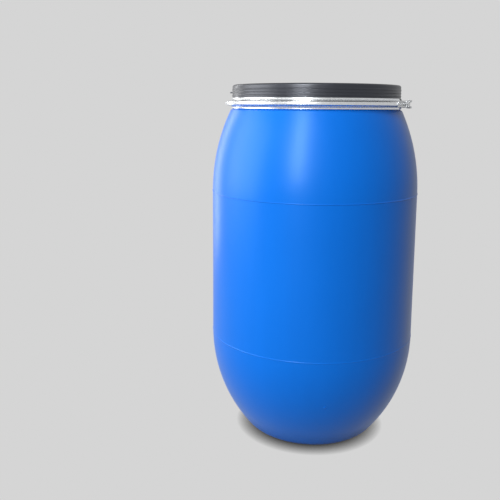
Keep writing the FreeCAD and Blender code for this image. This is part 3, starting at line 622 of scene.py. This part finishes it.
def band_outline(sizes):
    """Closed section of the pressed band: two upright lips and a raised middle."""
    middle = (BAND[0].z + BAND[1].z) / 2
    sheet = sizes.sheet
    slope = (ROOT_HALF - CROWN_HALF) / (CROWN_RADIUS - LIP_RADIUS)
    slant = sheet * math.hypot(1.0, slope)
    inner_root = ROOT_HALF + sheet * slope - slant
    inner_crown = CROWN_HALF + sheet * slope - slant
    outside = [
        (LIP_RADIUS, -LIP_HALF, 0.0004),
        (LIP_RADIUS, -ROOT_HALF, 0.0022),
        (CROWN_RADIUS, -CROWN_HALF, 0.002),
        (CROWN_RADIUS, CROWN_HALF, 0.002),
        (LIP_RADIUS, ROOT_HALF, 0.0022),
        (LIP_RADIUS, LIP_HALF, 0.0004),
    ]
    inside = [
        (LIP_RADIUS - sheet, LIP_HALF, 0.0004),
        (LIP_RADIUS - sheet, inner_root, 0.001),
        (CROWN_RADIUS - sheet, inner_crown, 0.0008),
        (CROWN_RADIUS - sheet, -inner_crown, 0.0008),
        (LIP_RADIUS - sheet, -inner_root, 0.001),
        (LIP_RADIUS - sheet, -LIP_HALF, 0.0004),
    ]
    return softened([(r, middle + z, bend) for r, z, bend in outside + inside])


class DRUM_OT_band(bpy.types.Operator):
    """Add the clamping band, open between its two ends"""

    bl_idname = "drum.band"
    bl_label = "Clamping Band"

    def execute(self, context):
        sizes = context.scene.drum_sizes
        bm = bmesh.new()
        gap = REAR_END - FRONT_END
        spun(bm, band_outline(sizes), sizes.turns, math.tau - gap, REAR_END)
        material = zinc_sheet("band_zinc", context.scene.drum_colours.zinc, roughness=0.2, spangle=260.0)
        piece = finished(bm, "clamping_band", material, None, ["ring_band"], sharp=50.0)
        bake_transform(piece)
        return {"FINISHED"}


def softened_copy(node, material, width):
    """Replace a pressed or turned node by a copy whose sharp edges are broken."""
    bm = bmesh.new()
    bm.from_mesh(frame["nodes"][node].data)
    bmesh.ops.remove_doubles(bm, verts=bm.verts, dist=MERGE)
    bmesh.ops.dissolve_limit(bm, angle_limit=FLAT_ANGLE, verts=bm.verts, edges=bm.edges)
    sharp = [edge for edge in bm.edges if edge.is_manifold and edge.calc_face_angle() > BROKEN_ANGLE]
    bmesh.ops.bevel(
        bm, geom=sharp, offset=width, offset_type="OFFSET", affect="EDGES", segments=2,
        profile=0.5, material=-1, clamp_overlap=True)
    return finished(bm, node + "_softened", material, BODY_OF[node], [node])


class DRUM_OT_closure(bpy.types.Operator):
    """Add the lever, hook link, brackets and seal staple"""

    bl_idname = "drum.closure"
    bl_label = "Lever Closure"

    def execute(self, context):
        # Painted shade: the band's zinc, darkened to stand in for the shade in and round the closure
        colour = [part * CLOSURE_SHADE_FACTOR for part in context.scene.drum_colours.zinc]
        material = zinc_sheet("closure_zinc", colour, roughness=0.26, spangle=420.0)
        for node in CLOSURE:
            softened_copy(node, material, PRESSED_EDGE)
        return {"FINISHED"}


class DRUM_OT_rivets(bpy.types.Operator):
    """Add the rivets and the link's pin"""

    bl_idname = "drum.rivets"
    bl_label = "Rivets"

    def execute(self, context):
        material = rivet_steel(context.scene.drum_colours.zinc)
        for node in RIVETS:
            softened_copy(node, material, TURNED_EDGE)
        return {"FINISHED"}


# Stage


def backdrop_material(colour):
    """Even paleness for the camera and in the metal, darker only where the drum shades the floor."""
    material = bpy.data.materials.new("pale_floor")
    material.use_nodes = True
    material.node_tree.nodes.clear()
    nodes = Nodes(material.node_tree)
    reach = {"Color": colour, "Distance": CONTACT_REACH}
    shadow = nodes.node("ShaderNodeAmbientOcclusion", {"samples": 12}, reach, "Color")
    glow = nodes.node("ShaderNodeEmission", None, {"Color": shadow})
    lit = nodes.node("ShaderNodeBsdfDiffuse", None, {"Color": LIT_FLOOR})
    surface = nodes.node("ShaderNodeMixShader", None, [seen_plainly(nodes), lit, glow])
    nodes.node("ShaderNodeOutputMaterial", None, {"Surface": surface})
    return material


def seen_plainly(nodes):
    """1 for the camera's rays and for mirrored or refracted ones, 0 for the light on the drum."""
    camera, mirrored, refracted = [
        nodes.node("ShaderNodeLightPath", output=ray)
        for ray in ("Is Camera Ray", "Is Glossy Ray", "Is Transmission Ray")
    ]
    return camera.maths("MAXIMUM", camera.maths("MAXIMUM", camera, mirrored), refracted)


def floor_plane(colour):
    """A floor that runs far past the view, so that no horizon shows."""
    bm = bmesh.new()
    bmesh.ops.create_grid(bm, x_segments=1, y_segments=1, size=FLOOR_SIZE)
    mesh = bpy.data.meshes.new("floor")
    bm.to_mesh(mesh)
    bm.free()
    mesh.materials.append(backdrop_material(colour))
    piece = bpy.data.objects.new("floor", mesh)
    bpy.context.scene.collection.objects.link(piece)


def pale_world(colour):
    """A world as pale as the floor where it is seen, and dimmer as a light."""
    world = bpy.data.worlds.new("studio")
    world.use_nodes = True
    world.node_tree.nodes.clear()
    nodes = Nodes(world.node_tree)
    strength = nodes.spread(seen_plainly(nodes), 0.0, 1.0, WORLD_LIGHT, SEEN_WORLD)
    sky = nodes.node("ShaderNodeBackground", None, {"Color": colour, "Strength": strength})
    nodes.node("ShaderNodeOutputWorld", None, {"Surface": sky})
    bpy.context.scene.world = world


def panel_light(name, place, target, width, height, power):
    """A rectangular soft light, aimed at a target."""
    lamp = bpy.data.lights.new(name, "AREA")
    lamp.shape = "RECTANGLE"
    lamp.size = width
    lamp.size_y = height
    lamp.energy = power
    piece = bpy.data.objects.new(name, lamp)
    piece.location = place
    piece.rotation_euler = (Vector(target) - Vector(place)).to_track_quat("-Z", "Y").to_euler()
    bpy.context.scene.collection.objects.link(piece)


def studio_camera():
    """A camera level with the band, tipped down a little, at the front of the drum."""
    camera = bpy.data.cameras.new("camera")
    camera.sensor_width = CAMERA_SENSOR
    camera.lens = CAMERA_LENS
    camera.shift_y = CAMERA_SHIFT
    piece = bpy.data.objects.new("camera", camera)
    pan = Matrix.Rotation(CAMERA_PAN, 4, "Z")
    pitch = Matrix.Rotation(math.pi / 2 - CAMERA_PITCH, 4, "X")
    roll = Matrix.Rotation(CAMERA_ROLL, 4, "Z")
    place = Matrix.Translation((0.0, -CAMERA_DISTANCE, CAMERA_HEIGHT))
    piece.matrix_world = place @ (pan @ pitch @ roll)
    bpy.context.scene.collection.objects.link(piece)
    bpy.context.scene.camera = piece


class DRUM_OT_stage(bpy.types.Operator):
    """Add the pale floor, the soft lights and the camera"""

    bl_idname = "drum.stage"
    bl_label = "Studio Stage"

    def execute(self, context):
        colour = (*context.scene.drum_colours.floor, 1.0)
        floor_plane(colour)
        pale_world(colour)
        for lamp in LAMPS:
            panel_light(*lamp)
        context.scene.view_settings.view_transform = "Standard"
        studio_camera()
        return {"FINISHED"}


class DRUM_PT_panel(bpy.types.Panel):
    """Lists the pieces of the drum"""

    bl_idname = "DRUM_PT_panel"
    bl_label = "Open Head Drum"
    bl_space_type = "VIEW_3D"
    bl_region_type = "UI"
    bl_category = "Drum"

    def draw(self, context):
        for group in (context.scene.drum_sizes, context.scene.drum_colours):
            for name in group.bl_rna.properties.keys():
                if name not in {"rna_type", "name"}:
                    self.layout.prop(group, name)
        for operator in OPERATORS:
            self.layout.operator(operator.bl_idname)


OPERATORS = (
    DRUM_OT_shell, DRUM_OT_lid, DRUM_OT_gasket, DRUM_OT_band, DRUM_OT_closure, DRUM_OT_rivets,
    DRUM_OT_stage,
)
CLASSES = (DrumSizes, DrumColours, *OPERATORS, DRUM_PT_panel)


def register():
    for item in CLASSES:
        bpy.utils.register_class(item)
    bpy.types.Scene.drum_sizes = PointerProperty(type=DrumSizes)
    bpy.types.Scene.drum_colours = PointerProperty(type=DrumColours)


def unregister():
    del bpy.types.Scene.drum_colours
    del bpy.types.Scene.drum_sizes
    for item in reversed(CLASSES):
        bpy.utils.unregister_class(item)


def main():
    """Build every piece and the stage."""
    register()
    bpy.ops.drum.shell()
    bpy.ops.drum.lid()
    bpy.ops.drum.gasket()
    bpy.ops.drum.band()
    bpy.ops.drum.closure()
    bpy.ops.drum.rivets()
    bpy.ops.drum.stage()


if __name__ == "__main__":
    main()
